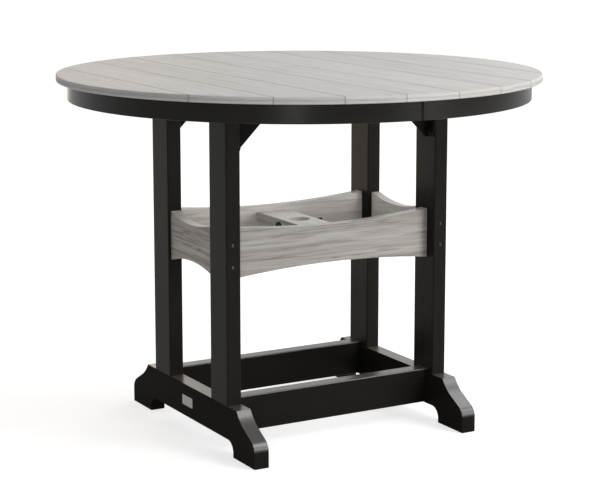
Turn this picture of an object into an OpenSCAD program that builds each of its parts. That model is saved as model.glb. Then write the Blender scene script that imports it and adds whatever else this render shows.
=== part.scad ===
// Round counter height table of plastic lumber.
// Nine grey slats lie on two battens and an apron ring, four black posts stand on two shaped
// feet, and grey arched rails carry a board that steadies and clamps a sunshade pole.
// Units are millimetres. X runs along the long rails, Y along the feet, and Z is up from the
// floor. Left is -X and front is -Y. The origin is on the floor under the middle of the top.

/* [Overall] */
// Height of the table from the floor to the face of the top
table_h = 900; // [700:1:1100]

/* [Top] */
// Diameter of the round top
top_d = 1219.2; // [1120:0.1:1400]
// Thickness of a slat
slat_t = 17.1; // [14:0.1:30]
// Width of a slat
slat_w = 139; // [120:0.5:140]
// Open joint between two slats
slat_gap = 0.8; // [0.4:0.1:6]
// Rounding of the rim, above and below
rim_r = 3; // [1:0.1:6]
// Rounding along the long edges of a slat
slat_edge_r = 1.2; // [0.4:0.1:3]

/* [Pole plug] */
// Diameter of the pole hole through the top
top_hole_d = 50.8; // [30:0.1:60]
// How far the plug's lip reaches past the pole hole, all round
plug_lip_w = 1.6; // [1:0.1:6]
// Thickness of the plug's lip, which is let in flush
plug_lip_t = 3; // [2:0.1:6]
// Wall of the plug's skirt
plug_wall = 2.5; // [1.5:0.1:5]
// Length of the skirt below the lip
plug_skirt_l = 14; // [6:0.5:30]
// Gap between the plug and its hole, all round
plug_gap = 0.3; // [0.2:0.05:0.6]

/* [Apron] */
// Distance from the rim of the top in to the face of the apron
apron_inset = 26.6; // [15:0.1:60]
// Height of the apron strip
apron_h = 46.7; // [40:0.1:80]
// Thickness of the apron strip
apron_t = 12.7; // [9:0.1:20]
// Width of the butt joint between the two strips
apron_joint = 7; // [1:0.1:9]
// Angle of the butt joints away from the front and back middle
apron_joint_a = 1.3; // [0:0.1:2]
// Rounding of the apron's edges
apron_edge_r = 2; // [0.5:0.1:4]

/* [Battens] */
// Thickness of a batten under the slats
batten_t = 38.1; // [25:0.1:50]
// Gap between a batten's end and the apron
batten_end_gap = 2.4; // [1:0.1:20]

/* [Posts] */
// Thickness of a post, along X
post_t = 38.1; // [30:0.1:60]
// Width of a post, along Y
post_w = 88.9; // [70:0.1:110]
// Distance between the post centres along X
post_span_x = 593; // [500:1:700]
// Distance between the post centres along Y
post_span_y = 320.1; // [280:0.1:400]
// Rounding of the edges of posts, battens and lower rails
edge_r = 3; // [1:0.1:6]

/* [Feet] */
// Thickness of a foot, along X
foot_t = 38.1; // [30:0.1:60]
// Length of a foot, along Y
foot_l = 684; // [600:1:800]
// Height of a foot
foot_h = 120.4; // [105:0.1:160]
// Length of a toe on the floor
toe_l = 109; // [80:1:130]
// Height of the arch between the toes
arch_h = 38.1; // [30:0.1:50]
// Rounding where the arch meets a toe
arch_r = 28; // [8:0.5:30]
// Height of the upright end of a foot
nose_h = 37; // [30:0.5:42]
// Radius of the bulge above the upright end
nose_r = 31.4; // [20:0.1:33]
// Slope in degrees of the straight part behind the bulge
scoop_slope = 29.1; // [25:0.1:33]
// Length of that straight part
scoop_line = 44; // [10:0.5:50]
// Slope in degrees where the hollow behind it reaches the top of the foot
scoop_end = 58; // [45:1:75]

/* [Lower rails] */
// Thickness of a lower rail
low_rail_t = 38.1; // [30:0.1:50]
// Height of a lower rail
low_rail_h = 88.9; // [70:0.1:110]
// Height of its underside above the floor
low_rail_z = 43.8; // [30:0.1:60]
// How far a lower rail sits outwards from the middle of the posts
low_rail_shift = 3.3; // [-10:0.1:10]

/* [Middle rails] */
// Thickness of the long rails and the end rails
rail_t = 25.4; // [20:0.1:34]
// Height of a rail at its ends
rail_h = 125; // [105:0.5:140]
// Height of a rail's lowest corner above the floor
rail_z = 424.3; // [300:0.1:560]
// How far a long rail sits inwards from the middle of the posts
long_rail_shift = 1.85; // [-10:0.05:10]
// How far the left end rail sits inwards from the middle of its posts
end_rail_left_in = 0.9; // [-4:0.1:4]
// How far the right end rail sits outwards from the middle of its posts
end_rail_right_out = 6; // [-2:0.1:6.3]
// How far its long screws sit outwards from the middle of the posts
end_screw_right_out = 2.4; // [0:0.1:4]
// How far the long edges of a long rail curve in at the middle
long_rail_sag = 15.4; // [5:0.1:25]
// How far the long edges of an end rail curve in at the middle
end_rail_sag = 17; // [5:0.1:25]

/* [Pole board] */
// Width of the board
board_w = 88.9; // [80:0.1:120]
// Thickness of the board
board_t = 25.4; // [22:0.1:34]
// Distance from the rails' top corners down to the face of the board
board_drop = 28.8; // [18:0.1:40]
// Diameter of its pole hole
board_hole_d = 54; // [40:0.1:60]
// Rounding of the board's long edges
board_edge_r = 2; // [0.5:0.1:4]

/* [Clamp screws] */
// Diameter of the threaded stud
stud_d = 7.9; // [5:0.1:10]
// Gap round the stud in its insert
stud_fit = 0.08; // [0.04:0.01:0.1]
// Outside diameter of the threaded insert
insert_d = 12; // [10.5:0.1:16]
// Length of the threaded insert
insert_l = 15; // [10:0.5:16]
// Diameter of the knob's hub
hub_d = 11.6; // [11:0.1:16]
// Length of the knob
knob_l = 13; // [12:0.5:25]
// Distance across the knob's two wings
wing_span = 20.8; // [18:0.1:26]
// Length of a wing along the screw
wing_l = 11; // [6:0.5:11]
// Thickness of a wing
wing_t = 4.6; // [3:0.1:7]
// Rounding of a wing's corners
wing_r = 1.8; // [0.5:0.1:2.5]
// Space between the knob and the board when the clamp is open
knob_space = 10.5; // [10.3:0.1:20]
// How far the stud's tip stays back from the pole hole when the clamp is open
stud_back = 0.5; // [0:0.1:2]

/* [Brackets] */
// Width of a steel bracket
brk_w = 59; // [40:0.5:62]
// Length of each arm
brk_leg = 109.4; // [90:0.1:130]
// Thickness of the steel
brk_t = 3.2; // [2:0.1:5]
// Rounding of the arm's free corners
brk_corner_r = 14; // [3:0.5:15]
// Width of the web where it ends
brk_web_end = 10; // [5:0.5:14]
// How far a bracket sits outwards from the middle of its post
brk_shift = 12.5; // [0:0.5:13]
// Distance between the two columns of screws in an arm
brk_screw_w = 27; // [18:0.5:34]
// Distance of the first screw from the corner
brk_screw_a = 43.9; // [36:0.1:50]
// Distance of the second screw from the corner
brk_screw_b = 98.9; // [70:0.1:99]

/* [Fixings] */
// Gap between a screw and its hole, all round
screw_fit = 0.15; // [0.1:0.01:0.3]
// Diameter of the common wood screws
screw_d = 4.2; // [3.5:0.1:5]
// Head diameter of the common wood screws
screw_head_d = 8; // [7:0.1:10]
// Head height of the common wood screws
screw_head_h = 2.6; // [2:0.1:4]
// Diameter of the long structural screws
long_screw_d = 5.5; // [4.5:0.1:7]
// Head diameter of the long structural screws
long_head_d = 8.6; // [8:0.1:12]
// Head height of the long structural screws
long_head_h = 3; // [2:0.1:5]
// How deep the long screws' heads are sunk in the posts
long_head_sink = 6; // [4:0.1:12]
// Distance between the two long screws in a post
long_screw_gap = 53.2; // [45:0.1:60]
// How far the long screws bite into an end rail
long_bite = 36; // [20:1:60]
// Diameter of the lag screws from a foot into a post
lag_d = 7.9; // [6:0.1:10]
// Head diameter of a lag screw
lag_head_d = 14; // [11:0.1:16]
// Head height of a lag screw
lag_head_h = 5; // [4:0.1:8]
// How deep a lag screw's head is sunk under the foot
lag_sink = 12; // [8:0.5:25]
// Distance between the two lag screws under a post
lag_gap = 50; // [40:1:60]
// How far a lag screw bites into a post
lag_bite = 70; // [40:1:90]
// Slope in degrees of the pocket screws
pocket_a = 15; // [12:1:18]
// Distance from a pocket screw's head to the joint
pocket_back = 38; // [32:0.5:45]
// How far a pocket screw bites into the next piece
pocket_bite = 20; // [12:0.5:22]
// Height at which the long rails' pocket screws cross the joint, above the rail's corner
rail_screw_up = 20; // [19:0.5:26]
// Distance between the two pocket screws in a long rail's end
rail_screw_gap = 12.5; // [9.5:0.1:14]
// Height at which the lower rails' pocket screws cross the joint, above the rail's underside
low_screw_up = 18; // [16:0.5:24]
// Distance between the two pocket screws in a lower rail's end
low_screw_gap = 18; // [9.5:0.1:24]
// Distance of the board's screws from the middle of the board
board_screw_x = 25; // [12:1:32]
// How far the slat screws' heads are sunk in the battens
slat_screw_sink = 10; // [6:0.5:16]
// How far the screws bite into a slat
slat_bite = 12; // [8:0.5:13]
// Distance of the two slat screws from a slat's middle
slat_screw_x = 45; // [30:1:55]
// Distance of the slat screws from the middle of a batten
slat_screw_y = 25; // [21:1:30]
// How far the apron screws' heads are sunk in the strip
apron_sink = 6; // [4:0.5:10]
// Distance of the middle apron screws from the middle of the top
apron_screw_x = 30; // [24:1:45]
// How far the bracket screws bite
bracket_bite = 22; // [15:0.5:28]

/* [Plate] */
// Length of the plain plate on the left foot
plate_l = 57; // [30:1:80]
// Height of the plate
plate_h = 25.4; // [15:0.1:35]
// Thickness of the plate
plate_t = 0.8; // [0.5:0.1:2]
// How far the plate's middle sits behind the middle of the foot
plate_y = 15.1; // [-40:0.1:40]
// Height of the plate's middle above the arch of the foot
plate_up = 40.7; // [35:0.1:50]
// Rounding of the plate's corners
plate_r = 1.5; // [0.5:0.1:4]

/* [Hidden] */

// Number of segments in round shapes, in the round top and in the rails' shallow curves
round_n = 48;
disc_n = 360;
arc_n = 1440;
// Extra length that lets one shape cut cleanly through another
over = 1;

// Colours of the materials
board_grey = [0.73, 0.72, 0.70];
board_black = [0.10, 0.10, 0.10];
steel_black = [0.13, 0.13, 0.13];
steel_bare = [0.75, 0.75, 0.77];
knob_black = [0.07, 0.07, 0.08];

// Number of slats, and the slat that carries the pole hole
slat_n = 9;
mid_slat = (slat_n + 1) / 2;

top_r = top_d / 2;
top_z = table_h - slat_t;
pitch = slat_w + slat_gap;
last_seam = (mid_slat - 3 / 2) * pitch;

apron_r = top_r - apron_inset;
apron_in_r = apron_r - apron_t;
apron_mid_r = apron_r - apron_t / 2;
apron_z = top_z - apron_h;

batten_z = top_z - batten_t;
post_x = post_span_x / 2;
post_y = post_span_y / 2;
post_in_x = post_x - post_t / 2;
post_out_x = post_x + post_t / 2;
post_in_y = post_y - post_w / 2;
post_out_y = post_y + post_w / 2;
batten_half = sqrt(pow(apron_in_r, 2) - pow(post_out_y, 2)) - batten_end_gap;

foot_half = foot_l / 2;
toe_y = foot_half - toe_l;

low_rail_y = post_y + low_rail_shift;
rail_mid_z = rail_z + rail_h / 2;
rail_top_z = rail_z + rail_h;
long_rail_y = post_y - long_rail_shift;
long_rail_in_y = long_rail_y - rail_t / 2;
left_end_rail_x = -post_x + end_rail_left_in;
right_end_rail_x = post_x + end_rail_right_out;

board_top_z = rail_top_z - board_drop;
board_mid_z = board_top_z - board_t / 2;
board_hole_r = board_hole_d / 2;
stud_tip_x = board_hole_r + stud_back;
knob_in_x = board_w / 2 + knob_space;
// How far the stud is moulded into the knob
stud_in_knob = 9;
// How far the insert sits below the side of the board
insert_sink = 0.4;
// Room round the stud in the wood behind the insert
stud_room = 1;

brk_y = post_y + brk_shift;
plate_z = arch_h + plate_up;

// Rows of x places for the screws that go up into the slats
inner_slats = [for (i = [2:slat_n - 1]) i - mid_slat];
slat_screw_row = concat(
    [for (i = inner_slats) i * pitch - slat_screw_x],
    [for (i = inner_slats) i * pitch + slat_screw_x],
    [-(last_seam + batten_half) / 2, (last_seam + batten_half) / 2]);
apron_screw_row = concat(
    [for (i = inner_slats) if (i != 0) i * pitch],
    [-apron_screw_x, apron_screw_x],
    [-(last_seam + apron_mid_r) / 2, (last_seam + apron_mid_r) / 2]);

// Points of an arc about c, from angle a to angle b
function arc(c, r, a, b, n = 16) =
    [for (i = [0:n]) c + r * [cos(a + (b - a) * i / n), sin(a + (b - a) * i / n)]];

// Helpers

// Draws a piece of the +X +Y quarter in the quarter with the given signs
module quarter(sx, sy) {
    mirror([sx < 0 ? 1 : 0, 0, 0])
    mirror([0, sy < 0 ? 1 : 0, 0])
    children();
}

// Repeats a piece of the +X +Y quarter in all four quarters
module quarters() {
    for (sx = [-1, 1])
        for (sy = [-1, 1])
            quarter(sx, sy) children();
}

// A rectangle with round corners, centred
module rounded_rect(w, d, r) {
    square([w, d - 2 * r], center = true);
    square([w - 2 * r, d], center = true);
    for (x = [-1, 1])
        for (y = [-1, 1])
            translate([x * (w / 2 - r), y * (d / 2 - r)]) circle(r = r, $fn = round_n);
}

// A bar along X with rounded long edges, centred on X and Y, standing on z = 0
module bar_x(l, w, h, r) {
    translate([-l / 2, 0, h / 2])
    rotate([90, 0, 90])
    linear_extrude(l)
    rounded_rect(w, h, r);
}

// A screw with its head seated at z = 0 and its shank running up along +Z
module screw(l, d, head_d, head_h) {
    tip_l = d;
    tip_d = d * 0.2;
    drive_w = head_d * 0.34;
    drive_deep = head_h * 0.6;
    cylinder(h = l - tip_l, d = d, $fn = round_n);
    translate([0, 0, l - tip_l]) cylinder(h = tip_l, d1 = d, d2 = tip_d, $fn = round_n);
    difference() {
        translate([0, 0, -head_h]) cylinder(h = head_h, d = head_d, $fn = round_n);
        // The square drive
        translate([-drive_w / 2, -drive_w / 2, -head_h - over])
        cube([drive_w, drive_w, over + drive_deep]);
    }
}

// The hole that such a screw fits, with its counterbore running back by the given depth
module screw_hole(l, d, head_d, back) {
    cylinder(h = l + screw_fit, d = d + 2 * screw_fit, $fn = round_n);
    translate([0, 0, -back]) cylinder(h = back, d = head_d + 2 * screw_fit, $fn = round_n);
}

// The slats of the top

// What the rounding takes off the rim, above and below
module rim_cutters() {
    rounding = arc([top_r - rim_r, rim_r], rim_r, 270, 360, 6);
    outside = [[top_r + over, rim_r], [top_r + over, -over], [top_r - rim_r, -over]];
    for (s = [0, 1])
        translate([0, 0, top_z + s * slat_t])
        mirror([0, 0, s])
        rotate_extrude($fn = disc_n)
        polygon(concat(rounding, outside));
}

// One slat, cut to the round. The outer two run on to the rim.
module top_slat(i) {
    n = i - mid_slat;
    outer = abs(n) == mid_slat - 1;
    inner_edge = abs(n) * pitch - slat_w / 2;
    w = outer ? top_r + over - inner_edge : slat_w;
    x = outer ? sign(n) * (inner_edge + w / 2) : n * pitch;
    color(board_grey)
    difference() {
        intersection() {
            translate([0, 0, top_z - over])
            cylinder(h = slat_t + 2 * over, r = top_r, $fn = disc_n);
            translate([x, -top_r - over, top_z + slat_t / 2])
            rotate([-90, 0, 0])
            linear_extrude(top_d + 2 * over)
            rounded_rect(w, slat_t, slat_edge_r);
        }
        rim_cutters();
        // Only the screws that reach this slat cut it
        for (sx = slat_screw_row)
            if (abs(sx - x) < w / 2) slat_screw_at(sx) slat_screw_hole();
        for (sx = apron_screw_row)
            if (abs(sx - x) < w / 2) apron_screw_at(sx) apron_screw_hole();
        if (n == 0) pole_hole_in_top();
    }
}

module pole_hole_in_top() {
    translate([0, 0, top_z - over])
    cylinder(h = slat_t + 2 * over, d = top_hole_d, $fn = round_n * 2);
    translate([0, 0, table_h - plug_lip_t])
    cylinder(h = plug_lip_t + over, d = top_hole_d + 2 * plug_lip_w, $fn = round_n * 2);
}

// The plug that closes the pole hole: a flush lip on a hollow skirt
module pole_plug() {
    skirt_d = top_hole_d - 2 * plug_gap;
    lip_d = top_hole_d + 2 * plug_lip_w - 2 * plug_gap;
    lip_z = table_h - plug_lip_t;
    color(board_grey)
    difference() {
        union() {
            translate([0, 0, lip_z]) cylinder(h = plug_lip_t, d = lip_d, $fn = round_n * 2);
            translate([0, 0, lip_z - plug_skirt_l])
            cylinder(h = plug_skirt_l, d = skirt_d, $fn = round_n * 2);
        }
        translate([0, 0, lip_z - plug_skirt_l - over])
        cylinder(h = plug_skirt_l + over, d = skirt_d - 2 * plug_wall, $fn = round_n * 2);
    }
}

// The apron: two strips bent to half rings that meet in open butt joints
module apron_half(side) {
    color(board_black)
    difference() {
        translate([0, 0, apron_z + apron_h / 2])
        rotate_extrude($fn = disc_n)
        translate([apron_mid_r, 0])
        rounded_rect(apron_t, apron_h, apron_edge_r);
        // Everything past the joint line belongs to the other strip
        rotate([0, 0, -apron_joint_a])
        translate([side > 0 ? apron_joint / 2 - top_d : -apron_joint / 2, -top_d / 2,
                   apron_z - over])
        cube([top_d, top_d, apron_h + 2 * over]);
        for (x = apron_screw_row)
            apron_screw_at(x) apron_screw_hole();
    }
}

// Places a front and a back screw in the middle of the apron strip
module apron_screw_at(x) {
    y = sqrt(pow(apron_mid_r, 2) - pow(x, 2));
    for (s = [-1, 1])
        translate([x, s * y, apron_z + apron_sink]) children();
}

module apron_screw_hole() {
    screw_hole(apron_h - apron_sink + slat_bite, screw_d, screw_head_d, apron_sink + over);
}

module apron_screws() {
    color(steel_bare)
    for (x = apron_screw_row)
        apron_screw_at(x)
        screw(apron_h - apron_sink + slat_bite, screw_d, screw_head_d, screw_head_h);
}

// Battens under the slats, lying on the posts

module batten(sy) {
    color(board_black)
    difference() {
        translate([0, sy * post_y, batten_z]) bar_x(2 * batten_half, post_w, batten_t, edge_r);
        for (x = slat_screw_row)
            slat_screw_at(x) slat_screw_hole();
        bracket_screw_places() bracket_screw_hole();
    }
}

module slat_screw_at(x) {
    for (s = [-1, 1])
        translate([x, s * (post_y - slat_screw_y), batten_z + slat_screw_sink]) children();
}

module slat_screw_hole() {
    screw_hole(batten_t - slat_screw_sink + slat_bite, screw_d, screw_head_d,
               slat_screw_sink + over);
}

module slat_screws() {
    color(steel_bare)
    for (x = slat_screw_row)
        slat_screw_at(x)
        screw(batten_t - slat_screw_sink + slat_bite, screw_d, screw_head_d, screw_head_h);
}

// Posts

module post(sx, sy) {
    color(board_black)
    difference() {
        quarter(sx, sy)
        translate([post_x, post_y, foot_h])
        linear_extrude(batten_z - foot_h)
        rounded_rect(post_t, post_w, edge_r);
        end_rail_screw_places() end_rail_screw_hole();
        foot_lag_places() foot_lag_hole();
        bracket_screw_places() bracket_screw_hole();
        long_rail_screw_places() pocket_hole();
    }
}

// Feet

// Half of the outline of a foot in (y, z), from the arch round the toe to the top: an upright
// end, a bulge, a straight slope, and a hollow that rises to the top
function foot_outline() =
    let (slope_out = [sin(scoop_slope), cos(scoop_slope)],
         slope_up = [-cos(scoop_slope), sin(scoop_slope)],
         nose_c = [foot_half - nose_r, nose_h],
         line_end = nose_c + nose_r * slope_out + scoop_line * slope_up,
         hollow_r = (foot_h - line_end[1]) / (cos(scoop_slope) - cos(scoop_end)),
         hollow_c = line_end + hollow_r * slope_out)
    concat(arc([toe_y - arch_r, arch_h - arch_r], arch_r, 90, 0),
           [[toe_y, 0], [foot_half, 0]],
           arc(nose_c, nose_r, 0, 90 - scoop_slope),
           arc(hollow_c, hollow_r, 270 - scoop_slope, 270 - scoop_end));

module foot(sx) {
    half = foot_outline();
    color(board_black)
    difference() {
        translate([sx * post_x - foot_t / 2, 0, 0])
        rotate([90, 0, 90])
        linear_extrude(foot_t)
        polygon(concat(half, [for (i = [len(half) - 1:-1:0]) [-half[i][0], half[i][1]]]));
        foot_lag_places() foot_lag_hole();
        lower_rail_screw_places() pocket_hole();
    }
}

// Lag screws come up from the arch of a foot into its posts
module foot_lag_places() {
    quarters()
    for (s = [-1, 1])
        translate([post_x, post_y + s * lag_gap / 2, arch_h + lag_sink]) children();
}

module foot_lag_hole() {
    screw_hole(foot_h - arch_h - lag_sink + lag_bite, lag_d, lag_head_d, lag_sink + arch_h);
}

module foot_lag_screws() {
    color(steel_bare)
    foot_lag_places()
    screw(foot_h - arch_h - lag_sink + lag_bite, lag_d, lag_head_d, lag_head_h);
}

// Pocket screws
// They are drawn with the joint plane at z = 0, the board's pocketed face towards -Y, and the
// screw running up through the joint.

module pocket_screw_at() {
    rotate([-pocket_a, 0, 0]) translate([0, 0, -pocket_back]) children();
}

module pocket_screw() {
    pocket_screw_at() screw(pocket_back + pocket_bite, screw_d, screw_head_d, screw_head_h);
}

module pocket_hole() {
    pocket_screw_at()
    screw_hole(pocket_back + pocket_bite, screw_d, screw_head_d, 2 * pocket_back);
}

// Lower rails

module lower_rail(sy) {
    color(board_black)
    difference() {
        translate([0, sy * low_rail_y, low_rail_z])
        bar_x(2 * post_in_x, low_rail_t, low_rail_h, edge_r);
        lower_rail_screw_places() pocket_hole();
    }
}

// Two pocket screws side by side come up from the underside into the foot
module lower_rail_screw_places() {
    quarters()
    for (s = [-1, 1])
        translate([post_in_x, low_rail_y + s * low_screw_gap / 2, low_rail_z + low_screw_up])
        rotate([90, 0, 90])
        children();
}

module lower_rail_screws() {
    color(steel_bare)
    lower_rail_screw_places() pocket_screw();
}

// Middle rails, with both long edges hollowed to a shallow arc

module arched_board(l, sag) {
    r = (pow(l / 2, 2) + pow(sag, 2)) / (2 * sag);
    linear_extrude(rail_t, center = true)
    difference() {
        square([l, rail_h], center = true);
        for (s = [-1, 1])
            translate([0, s * (rail_h / 2 - sag + r)]) circle(r = r, $fn = arc_n);
    }
}

module long_rail(sy) {
    color(board_grey)
    difference() {
        translate([0, sy * long_rail_y, rail_mid_z])
        rotate([90, 0, 0])
        arched_board(2 * post_in_x, long_rail_sag);
        long_rail_screw_places() pocket_hole();
        board_screw_places() pocket_hole();
    }
}

// Two pocket screws side by side come up from the hollowed underside into the post
module long_rail_screw_places() {
    quarters()
    for (s = [-1, 1])
        translate([post_in_x, long_rail_y + s * rail_screw_gap / 2, rail_z + rail_screw_up])
        rotate([90, 0, 90])
        children();
}

module long_rail_screws() {
    color(steel_bare)
    long_rail_screw_places() pocket_screw();
}

module end_rail(x) {
    color(board_grey)
    difference() {
        translate([x, 0, rail_mid_z])
        rotate([90, 0, 90])
        arched_board(2 * post_in_y, end_rail_sag);
        end_rail_screw_places() end_rail_screw_hole();
    }
}

// Long screws run through the width of a post into the end of an end rail
module end_rail_screw_places() {
    for (x = [-post_x, post_x + end_screw_right_out])
        for (sy = [-1, 1])
            for (s = [-1, 1])
                translate([x, sy * (post_out_y - long_head_sink),
                           rail_mid_z + s * long_screw_gap / 2])
                rotate([sy * 90, 0, 0])
                children();
}

module end_rail_screw_hole() {
    screw_hole(post_w - long_head_sink + long_bite, long_screw_d, long_head_d,
               long_head_sink + over);
}

module end_rail_screws() {
    color(steel_bare)
    end_rail_screw_places()
    screw(post_w - long_head_sink + long_bite, long_screw_d, long_head_d, long_head_h);
}

// The board that steadies the pole, with two clamp screws

module pole_board() {
    color(board_grey)
    difference() {
        translate([0, 0, board_top_z - board_t])
        rotate([0, 0, 90])
        bar_x(2 * long_rail_in_y, board_w, board_t, board_edge_r);
        translate([0, 0, board_top_z - board_t - over])
        cylinder(h = board_t + 2 * over, d = board_hole_d, $fn = round_n * 2);
        for (s = [-1, 1])
            clamp_side(s) {
                translate([0, 0, board_w / 2 - insert_l - insert_sink])
                cylinder(h = insert_l + insert_sink + over, d = insert_d, $fn = round_n);
                translate([0, 0, board_hole_r - 2 * over])
                cylinder(h = board_w / 2, d = stud_d + 2 * stud_room, $fn = round_n);
            }
        board_screw_places() pocket_hole();
    }
}

// Turns +Z outwards along X on the given side, at the height of the clamp screws
module clamp_side(s) {
    translate([0, 0, board_mid_z]) rotate([0, s * 90, 0]) children();
}

module clamp_inserts() {
    color(steel_bare)
    for (s = [-1, 1])
        clamp_side(s)
        translate([0, 0, board_w / 2 - insert_l - insert_sink])
        difference() {
            cylinder(h = insert_l, d = insert_d, $fn = round_n);
            translate([0, 0, -over])
            cylinder(h = insert_l + 2 * over, d = stud_d + 2 * stud_fit, $fn = round_n);
        }
}

module clamp_stud(s) {
    bevel = 1;
    stud_l = knob_in_x + stud_in_knob - stud_tip_x;
    color(steel_bare)
    clamp_side(s)
    translate([0, 0, stud_tip_x]) {
        cylinder(h = bevel, d1 = stud_d - 2 * bevel, d2 = stud_d, $fn = round_n);
        translate([0, 0, bevel]) cylinder(h = stud_l - bevel, d = stud_d, $fn = round_n);
    }
}

// A thumb knob: a hub moulded on the stud, with a flat wing above and below
module clamp_knob(s) {
    bevel = 1;
    color(knob_black)
    clamp_side(s)
    translate([0, 0, knob_in_x])
    difference() {
        union() {
            cylinder(h = knob_l - bevel, d = hub_d, $fn = round_n);
            translate([0, 0, knob_l - bevel])
            cylinder(h = bevel, d1 = hub_d, d2 = hub_d - 2 * bevel, $fn = round_n);
            translate([0, 0, knob_l - bevel - wing_l / 2])
            rotate([90, 0, 0])
            linear_extrude(wing_t, center = true)
            rounded_rect(wing_span, wing_l, wing_r);
        }
        translate([0, 0, -over])
        cylinder(h = stud_in_knob + over, d = stud_d, $fn = round_n);
    }
}

// Pocket screws come up from under the board into the long rails
module board_screw_places() {
    quarters()
    translate([board_screw_x, long_rail_in_y, board_mid_z])
    rotate([-90, 0, 0])
    rotate([0, 0, 180])
    children();
}

module board_screws() {
    color(steel_bare)
    board_screw_places() pocket_screw();
}

// Steel brackets in the corners between the posts and the battens

// One arm of a bracket, lying along +X with round free corners
module bracket_arm() {
    linear_extrude(brk_t) {
        translate([0, -brk_w / 2]) square([brk_leg - brk_corner_r, brk_w]);
        translate([0, -brk_w / 2 + brk_corner_r])
        square([brk_leg, brk_w - 2 * brk_corner_r]);
        for (s = [-1, 1])
            translate([brk_leg - brk_corner_r, s * (brk_w / 2 - brk_corner_r)])
            circle(r = brk_corner_r, $fn = round_n);
    }
}

module bracket() {
    difference() {
        translate([post_in_x, brk_y, batten_z])
        rotate([0, 180, 0]) {
            bracket_arm();
            translate([brk_t, 0, 0]) rotate([0, -90, 0]) bracket_arm();
            rotate([90, 0, 0])
            linear_extrude(brk_t, center = true)
            polygon([[0, 0], [brk_leg, 0], [brk_leg, brk_web_end], [brk_web_end, brk_leg],
                     [0, brk_leg]]);
        }
        bracket_screw_places() bracket_screw_hole();
    }
}

module top_brackets() {
    color(steel_black)
    quarters() bracket();
}

// Screws go through the upright arm into the post and through the level arm into the batten
module bracket_screw_places() {
    quarters()
    for (a = [brk_screw_a, brk_screw_b])
        for (s = [-1, 1]) {
            translate([post_in_x - brk_t, brk_y + s * brk_screw_w / 2, batten_z - a])
            rotate([0, 90, 0])
            children();
            translate([post_in_x - a, brk_y + s * brk_screw_w / 2, batten_z - brk_t])
            children();
        }
}

module bracket_screw_hole() {
    screw_hole(bracket_bite, screw_d, screw_head_d, over);
}

module bracket_screws() {
    color(steel_bare)
    bracket_screw_places() screw(bracket_bite, screw_d, screw_head_d, screw_head_h);
}

// A small bare plate on the outer face of the left foot
module plain_plate() {
    color(steel_bare)
    translate([-post_x - foot_t / 2 - plate_t, plate_y, plate_z])
    rotate([90, 0, 90])
    linear_extrude(plate_t)
    rounded_rect(plate_l, plate_h, plate_r);
}

for (i = [1:slat_n])
    top_slat(i);
pole_plug();
apron_half(-1);  // apron_left
apron_half(1);  // apron_right
batten(-1);  // batten_front
batten(1);  // batten_back
post(-1, -1);  // post_front_left
post(1, -1);  // post_front_right
post(-1, 1);  // post_back_left
post(1, 1);  // post_back_right
foot(-1);  // foot_left
foot(1);  // foot_right
lower_rail(-1);  // lower_rail_front
lower_rail(1);  // lower_rail_back
long_rail(-1);  // long_rail_front
long_rail(1);  // long_rail_back
end_rail(left_end_rail_x);  // end_rail_left
end_rail(right_end_rail_x);  // end_rail_right
pole_board();
clamp_inserts();
clamp_knob(-1);  // clamp_knob_left
clamp_stud(-1);  // clamp_stud_left
clamp_knob(1);  // clamp_knob_right
clamp_stud(1);  // clamp_stud_right
top_brackets();
bracket_screws();
slat_screws();
apron_screws();
end_rail_screws();
long_rail_screws();
lower_rail_screws();
board_screws();
foot_lag_screws();
plain_plate();
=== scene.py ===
# %% [markdown]
# A round counter height table of plastic lumber: nine weathered grey slats on a black frame, with
# grey arched rails and a clamp board for the pole of a sunshade at mid height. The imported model
# already holds every board, screw and bracket at its true size. This lesson dresses it: it sets up
# a plain studio, mixes the finishes and softens the sawn edges.

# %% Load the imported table
import math
import random

import bmesh
import bpy
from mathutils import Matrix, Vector


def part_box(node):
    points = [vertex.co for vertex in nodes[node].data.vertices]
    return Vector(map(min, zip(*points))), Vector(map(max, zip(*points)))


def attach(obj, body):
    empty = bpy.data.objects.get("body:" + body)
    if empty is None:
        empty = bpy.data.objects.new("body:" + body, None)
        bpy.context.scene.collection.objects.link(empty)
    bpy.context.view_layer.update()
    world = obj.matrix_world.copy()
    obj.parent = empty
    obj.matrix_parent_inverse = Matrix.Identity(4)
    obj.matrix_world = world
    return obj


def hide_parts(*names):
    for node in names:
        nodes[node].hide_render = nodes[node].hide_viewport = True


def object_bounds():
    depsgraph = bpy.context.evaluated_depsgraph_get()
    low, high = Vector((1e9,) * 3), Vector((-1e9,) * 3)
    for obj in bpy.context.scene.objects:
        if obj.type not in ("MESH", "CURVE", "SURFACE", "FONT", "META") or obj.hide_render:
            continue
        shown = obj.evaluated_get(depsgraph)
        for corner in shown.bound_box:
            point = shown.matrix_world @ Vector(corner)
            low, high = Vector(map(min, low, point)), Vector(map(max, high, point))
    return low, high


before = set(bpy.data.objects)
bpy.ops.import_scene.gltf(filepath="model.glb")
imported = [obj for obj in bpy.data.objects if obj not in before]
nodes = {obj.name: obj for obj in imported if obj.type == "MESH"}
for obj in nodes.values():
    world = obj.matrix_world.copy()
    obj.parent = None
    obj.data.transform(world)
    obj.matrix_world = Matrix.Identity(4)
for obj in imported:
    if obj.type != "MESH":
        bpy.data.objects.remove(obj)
cad_low, cad_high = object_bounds()
table_d = cad_high.x - cad_low.x
table_h = cad_high.z
print("nodes:", len(nodes), "top across:", round(table_d, 4), "height:", round(table_h, 4))

# %% [markdown]
# The photograph was taken on a white sweep with large soft lights. A single large floor plane does
# here. The white beyond it comes from the world, which looks white to the camera and to mirror
# reflections but lights the table only gently, so the pale boards don't burn out.

# %% World
ambient = 0.28
pure_white = (1.0, 1.0, 1.0, 1.0)

scene = bpy.context.scene
scene.view_settings.view_transform = "Standard"


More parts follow.
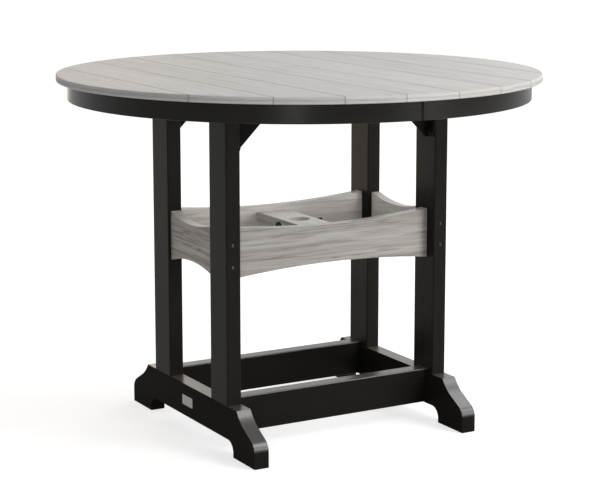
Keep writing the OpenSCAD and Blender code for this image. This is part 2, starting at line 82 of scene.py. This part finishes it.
def feed(tree, made, inputs):
    """Fills a node's inputs. Each value is either a socket to wire up or a plain value."""
    for name, value in inputs.items():
        socket = made.inputs[name]
        if isinstance(value, bpy.types.NodeSocket):
            tree.links.new(value, socket)
        else:
            socket.default_value = value


def node(tree, kind, inputs=None, **settings):
    """Adds a shader node with its settings and inputs."""
    made = tree.nodes.new(kind)
    for name, value in settings.items():
        setattr(made, name, value)
    feed(tree, made, inputs or {})
    return made


def maths(tree, operation, a, b=0.0, c=0.0, clamp=False):
    """One step of arithmetic on numbers or sockets."""
    step = node(tree, "ShaderNodeMath", {0: a, 1: b, 2: c}, operation=operation)
    step.use_clamp = clamp
    return step.outputs[0]


def seen_directly(tree):
    """1 for camera, mirror and glass rays, and 0 for the rays that carry light."""
    path = node(tree, "ShaderNodeLightPath")
    either = maths(tree, "MAXIMUM", path.outputs["Is Camera Ray"], path.outputs["Is Glossy Ray"])
    return maths(tree, "MAXIMUM", either, path.outputs["Is Transmission Ray"])


world = bpy.data.worlds.new("studio")
scene.world = world
world.use_nodes = True
sky = world.node_tree
sky.nodes.clear()
glow = node(sky, "ShaderNodeBackground", {"Color": pure_white, "Strength": ambient})
white = node(sky, "ShaderNodeBackground", {"Color": pure_white, "Strength": 1.0})
choice = node(sky, "ShaderNodeMixShader", {0: seen_directly(sky), 1: glow.outputs[0],
                                           2: white.outputs[0]})
node(sky, "ShaderNodeOutputWorld", {"Surface": choice.outputs[0]})
print("world strength for lighting:", ambient)

# %% [markdown]
# The floor is a matt pale sheet. Where the camera looks at it, a glow is added to the light that
# it reflects, so that it meets the white beyond without an edge and still keeps the soft shadow
# under the feet. Far from the table the lamps fall off, so the glow rises with the distance. The
# sheet has only an upper face: seen from below it is clear, so the underside can be looked at too.

# %% Floor
floor_half = 30.0
floor_drop = 0.0004
floor_colour = (0.64, 0.64, 0.64, 1)
glow_near = 0.68
glow_far = 0.86
glow_start = 1.5
glow_full = 6.0

sheet_mesh = bpy.data.meshes.new("floor")
corners = [(-floor_half, -floor_half), (floor_half, -floor_half),
           (floor_half, floor_half), (-floor_half, floor_half)]
sheet_mesh.from_pydata([(x, y, -floor_drop) for x, y in corners], [], [(0, 1, 2, 3)])
floor = bpy.data.objects.new("floor", sheet_mesh)
scene.collection.objects.link(floor)

paper = bpy.data.materials.new("pale_paper")
paper.use_nodes = True
paper_tree = paper.node_tree
paper_tree.nodes.clear()
matt = node(paper_tree, "ShaderNodeBsdfDiffuse", {"Color": floor_colour})
spot = node(paper_tree, "ShaderNodeTexCoord").outputs["Object"]
away = node(paper_tree, "ShaderNodeVectorMath", {0: spot}, operation="LENGTH").outputs["Value"]
rise = node(paper_tree, "ShaderNodeMapRange", {"Value": away, "From Min": glow_start,
                                               "From Max": glow_full, "To Min": glow_near,
                                               "To Max": glow_far}).outputs[0]
lift_strength = maths(paper_tree, "MULTIPLY", seen_directly(paper_tree), rise)
lift = node(paper_tree, "ShaderNodeEmission", {"Color": pure_white, "Strength": lift_strength})
both = node(paper_tree, "ShaderNodeAddShader", {0: matt.outputs[0], 1: lift.outputs[0]})
behind = node(paper_tree, "ShaderNodeNewGeometry").outputs["Backfacing"]
clear = node(paper_tree, "ShaderNodeBsdfTransparent", {"Color": pure_white})
sided = node(paper_tree, "ShaderNodeMixShader", {0: behind, 1: both.outputs[0],
                                                 2: clear.outputs[0]})
node(paper_tree, "ShaderNodeOutputMaterial", {"Surface": sided.outputs[0]})
floor.data.materials.append(paper)
print("floor:", 2 * floor_half, "m across")

# %% [markdown]
# Soft lights, as a studio would place them. The photograph is brightest on the faces that turn to
# the right of the camera, so the key light stands there, low enough to shine in under the top. A
# second light above it lights the top, helped by a wide one overhead, and a third, high on the
# right, is mirrored in the shoulders of the feet. One at the right rear and a small one under the
# top light the rails and the board from within. Two small warm panels behind the table give the
# brown sheen on the right posts and the glow on the left of the top, and a narrow strip beside the
# camera leaves the soft streak on the front of the apron. The lamps themselves are hidden from the
# camera.

# %% Lights
aim = Vector((0, 0, 0.6))
plain_light = (1.0, 1.0, 1.0)
warm_light = (1.0, 0.78, 0.56)


def soft_light(name, place, width, height, watts, colour=plain_light):
    """A rectangular soft box that faces the middle of the table."""
    lamp = bpy.data.lights.new(name, "AREA")
    lamp.shape = "RECTANGLE"
    lamp.size = width
    lamp.size_y = height
    lamp.energy = watts
    lamp.color = colour
    holder = bpy.data.objects.new(name, lamp)
    holder.location = place
    holder.rotation_euler = (aim - Vector(place)).to_track_quat("-Z", "Y").to_euler()
    holder.visible_camera = False
    scene.collection.objects.link(holder)


soft_boxes = [("key_light", (2.4, -4.4, 1.5), 2.2, 1.7, 97),
              ("high_light", (1.9, -2.6, 3.4), 2.0, 2.0, 66),
              ("top_light", (0.2, 0.2, 3.6), 3.2, 3.2, 16),
              ("rear_light", (3.7, 2.2, 1.9), 1.8, 1.2, 30),
              ("under_light", (0.0, 0.0, 0.83), 0.5, 0.18, 0.40),
              ("rear_panel", (1.0, 3.8, 1.4), 0.8, 0.8, 4.6, warm_light),
              ("inner_panel", (-0.28, 1.15, 0.5), 0.35, 0.7, 2.0, warm_light),
              ("strip_light", (-2.9, -4.6, 0.7), 0.7, 1.5, 30),
              ("side_light", (2.6, 0.2, 3.3), 1.5, 1.5, 18)]
for box in soft_boxes:
    soft_light(*box)
print("soft lights:", len(soft_boxes))

# %% [markdown]
# The camera looks from the front left, a little above the top. The verticals of the photograph run
# almost parallel, which a real photographer gets by shifting a long lens. Only a small part of that
# shift is kept here, so that the same camera also frames the table from other sides.

# %% Camera
camera_data = bpy.data.cameras.new("camera")
camera_data.lens = 106.51
camera_data.sensor_width = 36.0
camera_data.shift_y = -0.08
camera_data.clip_end = 100.0
camera = bpy.data.objects.new("camera", camera_data)
camera.location = (-2.2100, -3.8864, 1.3239)
camera.rotation_euler = (math.radians(80.353), 0, math.radians(-29.646))
scene.collection.objects.link(camera)
scene.camera = camera
print("camera to table:", round((camera.location - aim).length, 2), "m")

# %% [markdown]
# Every board is cut from an extruded plank whose colour streaks run along its length. So each
# finish first turns the table's coordinates into board coordinates: the first number runs along
# the grain, and the other two run across it. Each board adds its own offset, so no two boards show
# the same streaks. The apron is bent, so its grain follows the ring. On the routed rim of the top
# the streaks also follow the ring, because the cutter smears the plastic along its path.

# %% Board coordinates
axis_order = {"x": "XYZ", "y": "YXZ", "z": "ZXY", "slat": "YXZ"}
rim_skin = 0.0016


def table_place(tree):
    """The place on the table as a vector, and its three numbers by their letters."""
    place = node(tree, "ShaderNodeTexCoord").outputs["Object"]
    return place, node(tree, "ShaderNodeSeparateXYZ", {0: place}).outputs


def ring_radius(tree, place):
    """The distance from the middle of the table, seen from above."""
    flat = node(tree, "ShaderNodeVectorMath", {0: place, 1: (1, 1, 0)}, operation="MULTIPLY")
    reach = node(tree, "ShaderNodeVectorMath", {0: flat.outputs[0]}, operation="LENGTH")
    return reach.outputs["Value"]


def ring_parts(tree, place, split):
    """The way round the ring, the distance from its middle and the height."""
    angle = maths(tree, "ARCTAN2", split["Y"], split["X"])
    way_round = maths(tree, "MULTIPLY", angle, table_d / 2)
    return way_round, ring_radius(tree, place), split["Z"]


def on_the_rim(tree, place):
    """1 on the routed rim of the top, and 0 on its faces."""
    return maths(tree, "GREATER_THAN", ring_radius(tree, place), table_d / 2 - rim_skin)


def board_vector(tree, along, offset):
    """Board coordinates in metres. along is x, y, z, ring, or slat for y with a ringed rim."""
    place, split = table_place(tree)
    if along == "ring":
        parts = ring_parts(tree, place, split)
    else:
        parts = tuple(split[letter] for letter in axis_order[along])
    if along == "slat":
        rim = on_the_rim(tree, place)
        steps = [(here, maths(tree, "SUBTRACT", there, here))
                 for here, there in zip(parts, ring_parts(tree, place, split))]
        parts = tuple(maths(tree, "MULTIPLY_ADD", rim, step, here) for here, step in steps)
    joined = node(tree, "ShaderNodeCombineXYZ", {0: parts[0], 1: parts[1], 2: parts[2]})
    moved = node(tree, "ShaderNodeVectorMath", {0: joined.outputs[0], 1: offset}, operation="ADD")
    return moved.outputs[0]


print("ways the grain can run:", ", ".join([*axis_order, "ring"]))

# %% [markdown]
# Plastic lumber gets its figure from colours that were never fully mixed and then drawn out by the
# die. Noise does the same here: it is squeezed along the grain, pushed sideways by a slower noise
# so that the streaks wander, and then raised in contrast by a colour ramp.

# %% Streaks and colour
sway_scale = (3.0, 8.0, 8.0)
middle_grey = (0.5, 0.5, 0.5)


def noise(tree, vector, scale, detail=2.0, roughness=0.5):
    """Soft random values between 0 and 1, centred on 0.5."""
    made = node(tree, "ShaderNodeTexNoise", {"Vector": vector, "Scale": scale, "Detail": detail,
                                             "Roughness": roughness})
    return made.outputs[0]


def ramp(tree, value, stops):
    """Turns a number into a colour. Each stop is a position and a colour or a grey."""
    made = node(tree, "ShaderNodeValToRGB", {"Fac": value})
    points = made.color_ramp.elements
    while len(points) < len(stops):
        points.new(0.5)
    for point, (position, colour) in zip(points, stops):
        point.position = position
        point.color = (*colour, 1) if isinstance(colour, tuple) else (colour, colour, colour, 1)
    return made.outputs["Color"]


def mix(tree, factor, a, b, blend="MIX"):
    """Mixes two colours. Inputs 0, 6 and 7 of this node are the share and the two colours."""
    made = node(tree, "ShaderNodeMix", data_type="RGBA", blend_type=blend)
    feed(tree, made, {0: factor, 6: a, 7: b})
    return made.outputs[2]


def stretched(tree, vector, shrink, wander):
    """Board coordinates drawn out along the grain, with a slow sideways wander."""
    slow = node(tree, "ShaderNodeMapping", {"Vector": vector, "Scale": sway_scale})
    sway = node(tree, "ShaderNodeTexNoise", {"Vector": slow.outputs[0], "Scale": 1.0,
                                             "Detail": 1.0}).outputs["Color"]
    centred = node(tree, "ShaderNodeVectorMath", {0: sway, 1: middle_grey}, operation="SUBTRACT")
    scaled = node(tree, "ShaderNodeVectorMath", {0: centred.outputs[0], 1: (0, wander, wander)},
                  operation="MULTIPLY")
    bent = node(tree, "ShaderNodeVectorMath", {0: vector, 1: scaled.outputs[0]}, operation="ADD")
    drawn = node(tree, "ShaderNodeMapping", {"Vector": bent.outputs[0], "Scale": (shrink, 1, 1)})
    return drawn.outputs[0]


def layer(tree, vector, scale, stops, detail=3.0, roughness=0.6):
    """One layer of the figure: a noise with its contrast raised."""
    return ramp(tree, noise(tree, vector, scale, detail, roughness), stops)


def thin_lines(tree, vector, scale, width):
    """1 where a noise crosses its middle value, falling to 0 on both sides."""
    wave = noise(tree, vector, scale, roughness=0.55)
    away = maths(tree, "ABSOLUTE", maths(tree, "SUBTRACT", wave, 0.5))
    return maths(tree, "SUBTRACT", 1.0, maths(tree, "DIVIDE", away, width), clamp=True)


print("streaks sway over:", [round(1 / each, 3) for each in sway_scale], "m")

# %% [markdown]
# Wear and light depend on the shape. Edges are rubbed paler by hands, and the faces that look up
# are planed or worn smoother, hold dust and get a painted sheen. The Bevel node finds the edges:
# its normal is rounded near them, so it parts from the true one. The height of the normal tells
# which way a face looks. The bump gives the grain a relief that is too fine to model.

# %% Edges and upper faces
edge_gain = 6.0
edge_samples = 4


def blank_material(name):
    """A new material with a Principled shader on its output."""
    material = bpy.data.materials.new(name)
    material.use_nodes = True
    tree = material.node_tree
    return material, tree, tree.nodes["Principled BSDF"]


def edge_mask(tree, radius):
    """Near 1 along the edges of a piece, where hands and handling rub it, and 0 elsewhere."""
    rounded = node(tree, "ShaderNodeBevel", {"Radius": radius}, samples=edge_samples)
    flat = node(tree, "ShaderNodeNewGeometry").outputs["Normal"]
    same = node(tree, "ShaderNodeVectorMath", {0: rounded.outputs[0], 1: flat},
                operation="DOT_PRODUCT")
    apart = maths(tree, "SUBTRACT", 1.0, same.outputs["Value"])
    return maths(tree, "MULTIPLY", apart, edge_gain, clamp=True)


def facing_up(tree, start, end):
    """0 on faces that look up less than start, rising to 1 where they look up more than end."""
    normal = node(tree, "ShaderNodeNewGeometry").outputs["Normal"]
    height = node(tree, "ShaderNodeSeparateXYZ", {0: normal}).outputs["Z"]
    return node(tree, "ShaderNodeMapRange", {"Value": height, "From Min": start,
                                             "From Max": end}).outputs[0]


def embossed(tree, height, strength, depth):
    """A normal that shows the height as a relief of that depth in metres."""
    return node(tree, "ShaderNodeBump", {"Height": height, "Strength": strength,
                                         "Distance": depth}).outputs[0]


print("edge mask samples:", edge_samples)

# %% [markdown]
# The slats lie side by side with narrow joints, and painted shade darkens the slats' edges beside
# them, where the grooves would lie in shade. The round rim was cut with a router after the slats
# were fixed. The painted joint shade is fainter there, and a darker band is painted round it near
# the middle of its height.

# %% Joints and rim
slats = [f"top_slat_{i}" for i in range(1, 10)]
slat_t = table_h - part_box(slats[0])[0].z
# How far the painted joint shade reaches, and how dark it is on the faces and on the rim.
joint_reach = 0.0024
joint_dark = 0.55
rim_joint_dark = 0.80
rim_line = [(0.0, 1.0), (0.34, 1.0), (0.46, 0.80), (0.60, 0.86), (0.72, 1.0), (1.0, 1.0)]


def painted_joint_shade(tree, name):
    """Painted shade in the joints on both sides of a slat, fainter on the rim, 1 away from them."""
    low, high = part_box(name)
    place, split = table_place(tree)
    left = maths(tree, "SUBTRACT", split["X"], low.x) if name != slats[0] else 1.0
    right = maths(tree, "SUBTRACT", high.x, split["X"]) if name != slats[-1] else 1.0
    nearest = maths(tree, "MINIMUM", left, right)
    darkest = maths(tree, "MULTIPLY_ADD", on_the_rim(tree, place), rim_joint_dark - joint_dark,
                    joint_dark)
    return node(tree, "ShaderNodeMapRange", {"Value": nearest, "From Max": joint_reach,
                                             "To Min": darkest, "To Max": 1.0},
                interpolation_type="SMOOTHSTEP").outputs[0]


def rim_band(tree):
    """A darker band painted round the rim, near the middle of its height."""
    place, split = table_place(tree)
    below = maths(tree, "DIVIDE", maths(tree, "SUBTRACT", table_h, split["Z"]), slat_t)
    return mix(tree, on_the_rim(tree, place), pure_white, ramp(tree, below, rim_line))


print("slats:", len(slats), "thickness:", round(slat_t, 4))

# %% [markdown]
# The grey boards are a coextruded plank in a driftwood colour. Close up it has four layers: slow
# patches that drift from a cool light grey to a warm and then a greenish brown grey, soft streaks
# a few millimetres wide, thin wavy dark lines up to a hand long that break off and start again,
# and fine fibres. A thin line appears where a noise crosses its middle value, which gives lines
# that wander and fork as growth lines do. The lines and fibres are also pressed in, which the bump
# repeats. The slats of the top show the same layers more faintly than the rails, and are more
# matt. The faces of the rails and of the board that look up are planed smoother, so they catch a
# sheen. On the rails' upper edges a paler grey with little figure is painted on as well, a painted
# sheen.

# %% Grey boards
rng = random.Random(7)
slat_ground = (0.555, 0.538, 0.525)
rail_ground = (0.555, 0.533, 0.506)
grey_warm = (0.410, 0.375, 0.340)
grey_brown = (0.270, 0.240, 0.200)
line_dark = (0.160, 0.136, 0.115)
grey_worn = (0.600, 0.590, 0.570)
# The paler grey painted on the rails' upper faces as painted sheen.
painted_sheen_grey = (0.600, 0.585, 0.565)
warm_share = 0.72
brown_share = 0.66
streak_share = 0.42
line_share = 0.68
worn_share = 0.15
painted_sheen_share = 0.75
slat_sheen = 0.20
rail_sheen = 0.35
planed_sheen = 0.80
grey_rough = 0.40
fibre_rough = 0.16
slat_rougher = 0.08
planed_smoother = 0.16


def board_offset():
    """A place of its own in the noise for each board."""
    return (rng.uniform(0, 40), rng.uniform(0, 9), rng.uniform(0, 9))


def grey_board(name, along, figure, lift):
    """The driftwood finish for one board. figure is the strength of its streaks."""
    material, tree, shader = blank_material(name + "_grey")
    tone = lift * rng.uniform(0.97, 1.03)
    place = board_vector(tree, along, board_offset())
    long_way = stretched(tree, place, shrink=0.040, wander=0.008)
    fibre_way = stretched(tree, place, shrink=0.018, wander=0.016)
    warm = layer(tree, long_way, 36.0, [(0.40, 0.0), (0.60, 1.0)])
    brown = layer(tree, long_way, 56.0, [(0.52, 0.0), (0.66, 1.0)])
    streaks = layer(tree, long_way, 150.0, [(0.38, 1.0), (0.54, 0.0)], detail=4.0, roughness=0.65)
    breaks = layer(tree, long_way, 70.0, [(0.42, 0.0), (0.56, 1.0)], detail=2.0, roughness=0.5)
    lines = maths(tree, "MULTIPLY", thin_lines(tree, long_way, 100.0, width=0.050), breaks)
    fibres = noise(tree, fibre_way, 620.0, detail=3.0, roughness=0.6)
    colour = (*(slat_ground if along == "slat" else rail_ground), 1)
    for mask, share, tint in ((warm, warm_share, grey_warm), (brown, brown_share, grey_brown),
                              (streaks, streak_share, grey_brown), (lines, line_share, line_dark)):
        colour = mix(tree, maths(tree, "MULTIPLY", mask, share * figure), colour, (*tint, 1))
    shade = ramp(tree, fibres, [(0.30, 0.88 * tone), (0.70, 1.08 * tone)])
    colour = mix(tree, 1.0, colour, shade, "MULTIPLY")
    rough = maths(tree, "MULTIPLY_ADD", fibres, fibre_rough, grey_rough)
    if along == "slat":
        # Painted shade beside the joints.
        colour = mix(tree, 1.0, colour, painted_joint_shade(tree, name), "MULTIPLY")
        # A darker band painted round the rim.
        colour = mix(tree, 1.0, colour, rim_band(tree), "MULTIPLY")
        sheen = slat_sheen
        rough = maths(tree, "ADD", rough, slat_rougher)
    else:
        worn = maths(tree, "MULTIPLY", edge_mask(tree, 0.0012), worn_share)
        colour = mix(tree, worn, colour, (*grey_worn, 1))
        upward = facing_up(tree, 0.2, 0.9)
        if name != "pole_board":
            # Painted sheen: a paler grey with little figure on the rails' upper faces.
            painted_sheen = maths(tree, "MULTIPLY", upward, painted_sheen_share)
            colour = mix(tree, painted_sheen, colour, (*painted_sheen_grey, 1))
        sheen = maths(tree, "MULTIPLY_ADD", upward, planed_sheen - rail_sheen, rail_sheen)
        rough = maths(tree, "MULTIPLY_ADD", upward, -planed_smoother, rough)
    pressed = maths(tree, "MULTIPLY_ADD", lines, -0.8, maths(tree, "MULTIPLY", fibres, 0.6))
    feed(tree, shader, {"Base Color": colour, "Roughness": rough, "Specular IOR Level": sheen,
                        "Normal": embossed(tree, pressed, strength=0.30, depth=0.0004)})
    return material


print("grey layers: patches, streaks, lines, fibres")

# %% [markdown]
# The black boards are the same planks in a solid colour. They have no streaks of colour, only a
# faint embossed grain that breaks up the reflections. Their sheen is satin: almost nothing when
# you look straight at a face, and bright where you look along it. It differs from piece to piece:
# the bent apron shines most, while the feet and posts are duller, and their tone is painted paler
# as painted light in place of that sheen. The faces that look up are smoother from wear. A warm
# grey is painted on the flat ones, partly dust and partly painted sheen, and a cooler grey painted
# on the sloping ends of the feet is painted sheen. Edges that are handled or dragged go a little
# paler too.

# %% Black boards
black_base = (0.0096, 0.0089, 0.0077)
black_cloud = (0.0122, 0.0112, 0.0095)
black_scuffed = (0.026, 0.024, 0.021)
# The warm grey on flat upper faces: partly dust, partly painted sheen.
dust_and_sheen_colour = (0.120, 0.104, 0.084)
# The cooler grey painted on sloping faces as painted sheen.
slope_sheen_colour = (0.115, 0.114, 0.112)
# The feet and posts are painted paler as painted light, in place of the sheen they lack.
painted_lift_by_grain = {"ring": 1.0, "x": 1.0, "y": 1.4, "z": 1.4}
sheen_by_grain = {"ring": 0.11, "x": 0.05, "y": 0.004, "z": 0.035}
upward_sheen = 0.75
scuff_share = 0.5
dust_and_sheen_even = 0.30
dust_and_sheen_patchy = 0.5
slope_sheen_even = 0.6
slope_sheen_patchy = 0.2
black_rough = 0.18
cloud_rough = 0.10
grain_rough = 0.14


def black_board(name, along, dust_and_sheen):
    """The black finish for one board, with a warm grey on its upper face: dust and painted sheen.
    """
    material, tree, shader = blank_material(name + "_black")
    place = board_vector(tree, along, board_offset())
    long_way = stretched(tree, place, shrink=0.05, wander=0.020)
    grain = noise(tree, long_way, 380.0, detail=3.0, roughness=0.6)
    clouds = noise(tree, long_way, 14.0)
    upward = facing_up(tree, 0.05, 0.65)
    level = facing_up(tree, 0.93, 0.98)
    # The paler tone of the feet and posts is painted light.
    dark, pale = (tuple(part * painted_lift_by_grain[along] for part in black)
                  for black in (black_base, black_cloud))
    colour = ramp(tree, clouds, [(0.35, dark), (0.70, pale)])
    scuffed = maths(tree, "MULTIPLY", edge_mask(tree, 0.0015), scuff_share)
    colour = mix(tree, scuffed, colour, (*black_scuffed, 1))
    # Warm grey painted on the flat upper faces: partly dust, partly painted sheen.
    dust_and_sheen_film = maths(tree, "MULTIPLY_ADD", grain, dust_and_sheen_patchy * dust_and_sheen, dust_and_sheen_even * dust_and_sheen)
    colour = mix(tree, maths(tree, "MULTIPLY", level, dust_and_sheen_film), colour, (*dust_and_sheen_colour, 1))
    # Painted sheen on the sloping ends of the feet.
    sloping = maths(tree, "SUBTRACT", upward, level, clamp=True)
    slope_sheen = maths(tree, "MULTIPLY_ADD", clouds, slope_sheen_patchy, slope_sheen_even)
    colour = mix(tree, maths(tree, "MULTIPLY", sloping, slope_sheen), colour, (*slope_sheen_colour, 1))
    cloudy = maths(tree, "MULTIPLY_ADD", clouds, cloud_rough, black_rough)
    rough = maths(tree, "MULTIPLY_ADD", grain, grain_rough, cloudy)
    upright = sheen_by_grain[along]
    sheen = maths(tree, "MULTIPLY_ADD", upward, upward_sheen - upright, upright)
    feed(tree, shader, {"Base Color": colour, "Roughness": rough, "Specular IOR Level": sheen,
                        "Normal": embossed(tree, grain, strength=0.10, depth=0.0003)})
    return material


print("black sheen by grain:", sheen_by_grain)

# %% [markdown]
# Each board gets its own copy of the finish, turned to its own grain. The slats, feet, end rails
# and pole board run from front to back, the long rails, lower rails and battens run from left to
# right, and the posts stand upright. No two planks are alike: in the photograph the left end rail
# is the darkest and most streaked. The boards seen inside, under the top, are made paler as painted
# light, standing in for light that reaches them there. The table below gives each grey board the
# strength of its streaks and its brightness.

# %% Dress the boards
slat_figure = 0.26
slat_lift = 1.09
sides = ("left", "right")
ends = ("front", "back")


def dress(name, material):
    """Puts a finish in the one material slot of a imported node."""
    nodes[name].material_slots[0].material = material


grey_grain = {f"end_rail_{side}": "y" for side in sides}
grey_grain |= {f"long_rail_{end}": "x" for end in ends}
grey_grain["pole_board"] = "y"
# Streak strength and brightness of each grey board; those under the top get painted light.
streaks_and_painted_light = {"pole_board": (0.45, 1.27), "long_rail_back": (0.75, 1.28),
             "long_rail_front": (1.00, 0.86), "end_rail_right": (0.40, 1.42),
             "end_rail_left": (1.45, 0.87)}
black_grain = {f"apron_{side}": "ring" for side in sides}
black_grain |= {f"foot_{side}": "y" for side in sides}
black_grain |= {f"{rail}_{end}": "x" for rail in ("lower_rail", "batten") for end in ends}
black_grain |= {f"post_{end}_{side}": "z" for end in ends for side in sides}

for name in slats:
    dress(name, grey_board(name, "slat", slat_figure, slat_lift))
for name, along in grey_grain.items():
    dress(name, grey_board(name, along, *streaks_and_painted_light[name]))
for name, along in black_grain.items():
    # The lower rails get half the warm grey of dust and painted sheen.
    dust_and_sheen = 0.5 if name.startswith("lower_rail") else 1.0
    dress(name, black_board(name, along, dust_and_sheen))
print("boards dressed:", len(slats) + len(grey_grain) + len(black_grain))

# %% [markdown]
# The small parts. The plug is moulded in the slats' grey without streaks. The knobs are moulded
# black plastic with a fine spark texture. The brackets are powder coated, which looks like a fine
# orange peel. The clamp screws and their inserts are stainless steel. The other screws are given a
# dark grey steel, which paints in the shade that their heads sit in. The little plate is brushed
# aluminium with nothing printed on it.

# %% Small finishes
mottle_scale = 35.0
rubbed_reach = 0.0006
rubbed_share = 0.35
rubbed_paler = 2.2
speckle_rough = 0.14
scratch_scale = 2600.0
scratch_dark = 0.86
scratch_rough = 0.22


def speckled(name, colour, roughness, bump_scale, bump_strength, level=0.5, metallic=0.0,
             colour_swing=0.12):
    """A moulded, coated or bare surface with a fine even texture."""
    material, tree, shader = blank_material(name)
    place = node(tree, "ShaderNodeTexCoord").outputs["Object"]
    fine = noise(tree, place, bump_scale)
    dark = tuple(part * (1 - colour_swing) for part in colour)
    pale = tuple(part * (1 + colour_swing) for part in colour)
    tint = ramp(tree, noise(tree, place, mottle_scale), [(0.35, dark), (0.65, pale)])
    worn = maths(tree, "MULTIPLY", edge_mask(tree, rubbed_reach), rubbed_share)
    rubbed = (*(min(1.0, part * rubbed_paler) for part in colour), 1)
    rough = maths(tree, "MULTIPLY_ADD", fine, speckle_rough, roughness - speckle_rough / 2)
    feed(tree, shader, {"Base Color": mix(tree, worn, tint, rubbed), "Roughness": rough,
                        "Metallic": metallic, "Specular IOR Level": level,
                        "Normal": embossed(tree, fine, bump_strength, depth=0.0002)})
    return material


def brushed(name, colour, roughness, along):
    """Brushed metal, with fine scratches along one axis."""
    material, tree, shader = blank_material(name)
    place = board_vector(tree, along, (0, 0, 0))
    scratch = noise(tree, stretched(tree, place, shrink=0.02, wander=0.0), scratch_scale,
                    roughness=0.6)
    tint = ramp(tree, scratch, [(0.3, tuple(part * scratch_dark for part in colour)),
                                (0.7, colour)])
    rough = maths(tree, "MULTIPLY_ADD", scratch, scratch_rough, roughness - scratch_rough / 2)
    feed(tree, shader, {"Base Color": tint, "Roughness": rough, "Metallic": 1.0,
                        "Normal": embossed(tree, scratch, strength=0.12, depth=0.0001)})
    return material


plug_finish = speckled("plug_grey", (0.56, 0.545, 0.525), 0.56, 900.0, 0.25, level=0.20,
                       colour_swing=0.03)
knob_finish = speckled("knob_black", (0.012, 0.0115, 0.011), 0.42, 1500.0, 0.35, level=0.25)
coat_finish = speckled("bracket_black", (0.0065, 0.0062, 0.0057), 0.55, 700.0, 0.45, level=0.04)
steel_finish = speckled("stainless", (0.50, 0.50, 0.49), 0.30, 1800.0, 0.10, metallic=1.0,
                        colour_swing=0.05)
# Painted shade: the other screws are a dark grey steel.
screw_finish = speckled("dark_screw_steel", (0.07, 0.07, 0.068), 0.38, 1800.0, 0.10, metallic=1.0,
                        colour_swing=0.05)
plate_finish = brushed("plate_aluminium", (0.27, 0.265, 0.26), 0.42, "y")

small_parts = {"pole_plug": plug_finish, "top_brackets": coat_finish, "plain_plate": plate_finish}
small_parts |= {f"clamp_knob_{side}": knob_finish for side in sides}
small_parts |= {f"clamp_stud_{side}": steel_finish for side in sides}
small_parts |= {name: screw_finish for name in nodes if name.endswith("_screws")}
small_parts["clamp_inserts"] = steel_finish
for name, material in small_parts.items():
    dress(name, material)
print("small parts dressed:", len(small_parts))

# %% [markdown]
# A saw or router never leaves a perfectly sharp edge on plastic lumber, and moulded knobs have
# round edges too. The feet, the grey rails and pole board, and the knobs each keep their own mesh
# and get four modifiers instead. The first welds the corners that the faces share, the second
# merges the flat triangles into whole faces, the third bevels what is left of the sharp edges, and
# the last works out the shading afresh, so that flat faces look flat up to the bevel. That follows
# every curve and hole of the piece, which a new mesh would have to repeat.

# %% Soften the sawn edges
board_round = 0.0009
knob_round = 0.0007
bevel_steps = 3
weld_reach = 0.00001
flat_limit = math.radians(0.5)
sharp_limit = math.radians(35)


def soften(name, width):
    """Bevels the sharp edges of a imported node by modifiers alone, so its mesh stays as packed."""
    piece = nodes[name]
    weld = piece.modifiers.new("weld", "WELD")
    weld.merge_threshold = weld_reach
    merge = piece.modifiers.new("merge", "DECIMATE")
    merge.decimate_type = "DISSOLVE"
    merge.angle_limit = flat_limit
    bevel = piece.modifiers.new("bevel", "BEVEL")
    bevel.width = width
    bevel.segments = bevel_steps
    bevel.limit_method = "ANGLE"
    bevel.angle_limit = sharp_limit
    bevel.harden_normals = True
    piece.modifiers.new("shading", "WEIGHTED_NORMAL")


edge_round = {f"foot_{side}": board_round for side in sides}
edge_round |= {name: board_round for name in grey_grain}
edge_round |= {f"clamp_knob_{side}": knob_round for side in sides}
for name, width in edge_round.items():
    soften(name, width)
print("softened:", len(edge_round))

# %% [markdown]
# The clamp screws are threaded studs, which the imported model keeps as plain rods. A thread is a
# rod whose radius rises and falls as you go round and along it: after one turn the ridge has moved
# on by one pitch. So the rod is built as a grid of rings, and each point's radius follows a
# triangle wave of its angle and its place along the rod. Both ends run out to a small chamfer.

# %% Clamp screw threads
thread_pitch = 0.00125
thread_depth = 0.00070
thread_sides = 32
rings_per_turn = 10
chamfer = 0.0010


def thread_radius(along, length, angle, outer):
    """Radius of the threaded rod at one point."""
    turn = (along / thread_pitch - angle / math.tau) % 1.0
    ridge = 1.0 - abs(2.0 * turn - 1.0)
    to_end = min(along, length - along)
    most = outer - chamfer + min(chamfer, to_end)
    return min(outer - thread_depth * (1.0 - ridge), most)


def threaded_stud(side):
    """Puts a threaded rod along X in the place of one packed stud, and returns its turns."""
    name = f"clamp_stud_{side}"
    low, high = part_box(name)
    length = high.x - low.x
    outer = (high.z - low.z) / 2
    middle = (low + high) / 2
    count = round(length / thread_pitch * rings_per_turn)
    mesh = bmesh.new()
    rings = []
    for step in range(count + 1):
        along = length * step / count
        ring = []
        for i in range(thread_sides):
            angle = math.tau * i / thread_sides
            radius = thread_radius(along, length, angle, outer)
            ring.append(mesh.verts.new((low.x + along, middle.y + radius * math.cos(angle),
                                        middle.z + radius * math.sin(angle))))
        rings.append(ring)
    for a, b in zip(rings, rings[1:]):
        for i in range(thread_sides):
            j = (i + 1) % thread_sides
            mesh.faces.new((a[i], a[j], b[j], b[i]))
    mesh.faces.new(list(reversed(rings[0])))
    mesh.faces.new(rings[-1])
    bmesh.ops.recalc_face_normals(mesh, faces=mesh.faces)
    data = bpy.data.meshes.new(f"thread_{side}")
    mesh.to_mesh(data)
    mesh.free()
    data.shade_smooth()
    rod = bpy.data.objects.new(f"thread_{side}", data)
    scene.collection.objects.link(rod)
    rod.data.materials.append(steel_finish)
    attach(rod, f"clamp_{side}")
    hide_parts(name)
    return count / rings_per_turn


print("thread turns:", {side: round(threaded_stud(side)) for side in sides})
